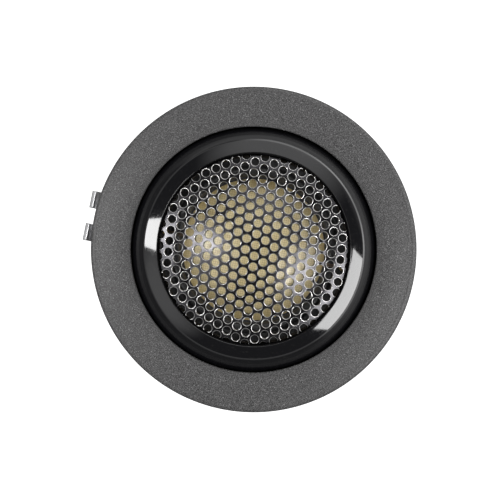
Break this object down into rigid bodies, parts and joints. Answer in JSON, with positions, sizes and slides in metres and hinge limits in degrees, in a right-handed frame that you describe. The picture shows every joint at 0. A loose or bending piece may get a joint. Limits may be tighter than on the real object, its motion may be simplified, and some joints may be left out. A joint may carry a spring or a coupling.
{
  "type": "car tweeter",
  "caption": "Round flush-mount dome tweeter: a ball with a perforated domed grille and glossy bezel swivels in a grey trim ring with a snap-in barrel and spring clip.",
  "frame": {"origin": "centre of the trim ring, in the plane where it rests on the panel", "axes": "+Z is the listening axis, out of the panel; the spring clip is on the -X side"},
  "size_m": [0.0614, 0.06, 0.0361],
  "materials": {
    "trim_plastic": "finely textured dark grey moulding",
    "gloss_black": "polished black moulding",
    "black_plastic": "plain black moulding",
    "friction_nylon": "smooth dark nylon",
    "grille_nickel": "black nickel plated perforated steel",
    "foam_black": "closed-cell foam",
    "zinc_screw": "bright zinc plate",
    "spring_steel": "nickel-plated spring strip",
    "rivet_alloy": "bright",
    "surround_rubber": "coated black fabric roll",
    "silk_cream": "coated cream woven silk",
    "tinsel_copper": "braided copper",
    "pin_brass": "plain",
    "yoke_steel": "zinc-plated turned steel",
    "magnet_nickel": "nickel-plated neodymium",
    "copper_sheet": "bare copper",
    "felt_grey": "wool felt",
    "wool_cream": "loose fibre pad",
    "board_fibre": "brown laminate",
    "tin_plate": "tinned brass",
    "wire_red": "PVC insulation",
    "wire_black": "PVC insulation",
    "former_film": "amber film",
    "winding_enamel": "enamelled wire"
  },
  "bodies": {
    "mount": {"trim_ring": "trim_plastic", "panel_gasket": "foam_black", "retainer": "black_plastic", "retainer_screws": "zinc_screw", "clip_foot": "spring_steel", "clip_rivet": "rivet_alloy"},
    "clip": {"clip_leaf": "spring_steel"},
    "swivel": {"friction_ring": "friction_nylon"},
    "tweeter": {"bezel": "gloss_black", "grille": "grille_nickel", "diaphragm_frame": "black_plastic", "surround": "surround_rubber", "tinsel_leads": "tinsel_copper", "lead_pins": "pin_brass", "motor_frame": "black_plastic", "frame_screws": "zinc_screw", "yoke": "yoke_steel", "magnet": "magnet_nickel", "top_plate": "yoke_steel", "copper_cap": "copper_sheet", "damping_pad": "felt_grey", "chamber_wool": "wool_cream", "rear_shell": "black_plastic", "shell_screws": "zinc_screw", "terminal_board": "board_fibre", "board_screws": "zinc_screw", "terminal_plus": "tin_plate", "terminal_minus": "tin_plate", "wire_plus": "wire_red", "wire_minus": "wire_black"},
    "coil": {"dome": "silk_cream", "voice_coil_former": "former_film", "voice_coil_winding": "winding_enamel"}
  },
  "joints": [
    {"name": "aim_turn", "type": "hinge", "parent": "mount", "child": "swivel", "pos_m": [0, 0, -0.0053], "axis": [0, 0, 1], "continuous": true},
    {"name": "aim_tilt", "type": "hinge", "parent": "swivel", "child": "tweeter", "pos_m": [0, 0, -0.0053], "axis": [1, 0, 0], "range_deg": [-15, 15]},
    {"name": "diaphragm_travel", "type": "slide", "parent": "tweeter", "child": "coil", "axis": [0, 0, 1], "range_m": [-0.00035, 0.00035], "stiffness_N_per_m": 150, "deforming": ["surround", "tinsel_leads"]},
    {"name": "clip_flex", "type": "hinge", "parent": "mount", "child": "clip", "pos_m": [-0.02625, 0, -0.0129], "axis": [0, 1, 0], "range_deg": [0, 25], "stiffness_Nm_per_rad": 0.15}
  ]
}
